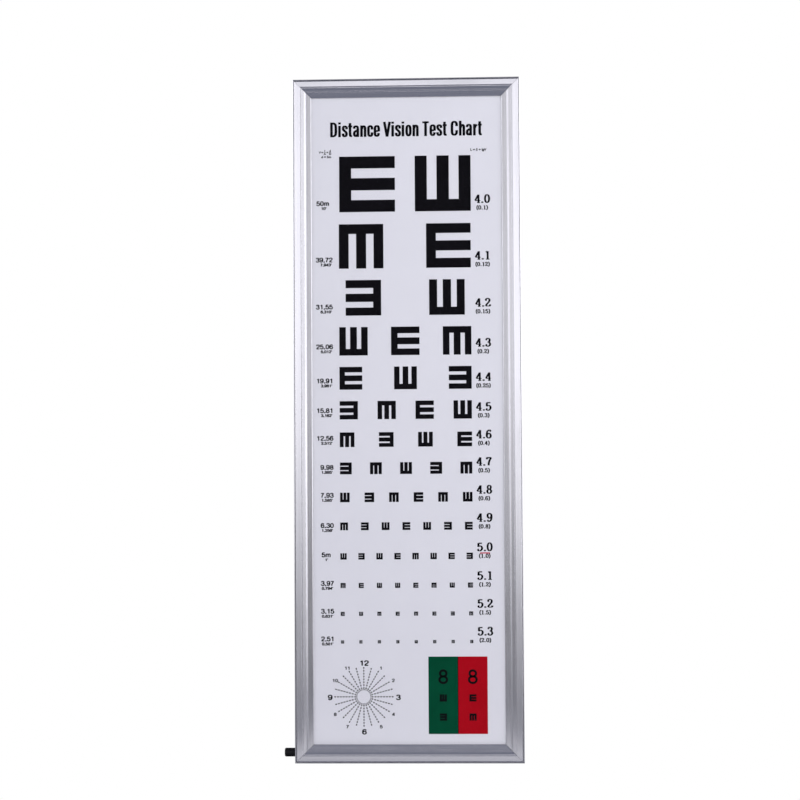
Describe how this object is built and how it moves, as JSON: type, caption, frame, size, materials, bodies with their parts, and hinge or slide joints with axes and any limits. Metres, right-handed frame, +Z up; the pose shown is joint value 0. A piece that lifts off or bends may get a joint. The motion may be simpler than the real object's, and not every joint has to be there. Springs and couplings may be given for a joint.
{
  "type": "led eye-chart light box",
  "caption": "Slim wall-hung LED light box with a distance-vision chart behind a clear sheet, held in an aluminium frame whose sides hinge open; keyhole slots at the back.",
  "frame": {"origin": "centre of the rear plane, which meets the wall", "axes": "+Z up along the chart's long side, +Y into the wall, +X to the viewer's right; the chart faces -Y"},
  "size_m": [0.3144, 0.025, 0.9],
  "materials": {
    "anodised_aluminium": "satin silver anodised extrusion",
    "back_sheet": "thin sheet, light grey powder coat",
    "clear_sheet": "clear non-glare cover sheet",
    "chart_white": "translucent printed film",
    "diffuser_white": "opal acrylic",
    "light_guide_acrylic": "clear acrylic light guide",
    "reflector_white": "white reflective film",
    "strip_board": "white LED strip",
    "zinc_steel": "zinc-plated steel",
    "spring_steel": "spring steel",
    "black_plastic": "moulded black plastic",
    "nickel": "nickel-plated brass",
    "wire_red": "insulated wire",
    "wire_black": "insulated wire",
    "connector_white": "moulded connector"
  },
  "bodies": {
    "light_box": {"back_cover": "back_sheet", "back_screw_1": "zinc_steel", "back_screw_2": "zinc_steel", "back_screw_3": "zinc_steel", "back_screw_4": "zinc_steel", "back_screw_5": "zinc_steel", "back_screw_6": "zinc_steel", "back_screw_7": "zinc_steel", "back_screw_8": "zinc_steel", "base_rail_bottom": "anodised_aluminium", "base_rail_left": "anodised_aluminium", "base_rail_right": "anodised_aluminium", "base_rail_top": "anodised_aluminium", "bracket_screw_bottom_left_1": "zinc_steel", "bracket_screw_bottom_left_2": "zinc_steel", "bracket_screw_bottom_right_1": "zinc_steel", "bracket_screw_bottom_right_2": "zinc_steel", "bracket_screw_top_left_1": "zinc_steel", "bracket_screw_top_left_2": "zinc_steel", "bracket_screw_top_right_1": "zinc_steel", "bracket_screw_top_right_2": "zinc_steel", "chart_film": "chart_white", "corner_bracket_bottom_left": "zinc_steel", "corner_bracket_bottom_right": "zinc_steel", "corner_bracket_top_left": "zinc_steel", "corner_bracket_top_right": "zinc_steel", "cover_sheet": "clear_sheet", "diffuser_sheet": "diffuser_white", "led_strip_left": "strip_board", "led_strip_right": "strip_board", "light_guide_panel": "light_guide_acrylic", "power_socket_body": "black_plastic", "power_socket_nut": "nickel", "power_socket_pin": "nickel", "power_socket_tab": "nickel", "reflector_sheet": "reflector_white", "snap_spring_bottom_1": "spring_steel", "snap_spring_bottom_2": "spring_steel", "snap_spring_left_1": "spring_steel", "snap_spring_left_2": "spring_steel", "snap_spring_left_3": "spring_steel", "snap_spring_right_1": "spring_steel", "snap_spring_right_2": "spring_steel", "snap_spring_right_3": "spring_steel", "snap_spring_top_1": "spring_steel", "snap_spring_top_2": "spring_steel", "strip_connector_left": "connector_white", "strip_connector_right": "connector_white", "wire_black_left": "wire_black", "wire_black_right": "wire_black", "wire_red_left": "wire_red", "wire_red_right": "wire_red"},
    "snap_left": {"snap_rail_left": "anodised_aluminium"},
    "snap_right": {"snap_rail_right": "anodised_aluminium"},
    "snap_top": {"snap_rail_top": "anodised_aluminium"},
    "snap_bottom": {"snap_rail_bottom": "anodised_aluminium"}
  },
  "joints": [
    {"name": "snap_rail_left_hinge", "type": "hinge", "parent": "light_box", "child": "snap_left", "pos_m": [-0.147, -0.0235, 0], "axis": [0, 0, -1], "range_deg": [0, 90]},
    {"name": "snap_rail_right_hinge", "type": "hinge", "parent": "light_box", "child": "snap_right", "pos_m": [0.147, -0.0235, 0], "axis": [0, 0, 1], "range_deg": [0, 90]},
    {"name": "snap_rail_top_hinge", "type": "hinge", "parent": "light_box", "child": "snap_top", "pos_m": [0, -0.0235, 0.447], "axis": [-1, 0, 0], "range_deg": [0, 90]},
    {"name": "snap_rail_bottom_hinge", "type": "hinge", "parent": "light_box", "child": "snap_bottom", "pos_m": [0, -0.0235, -0.447], "axis": [1, 0, 0], "range_deg": [0, 90]}
  ]
}
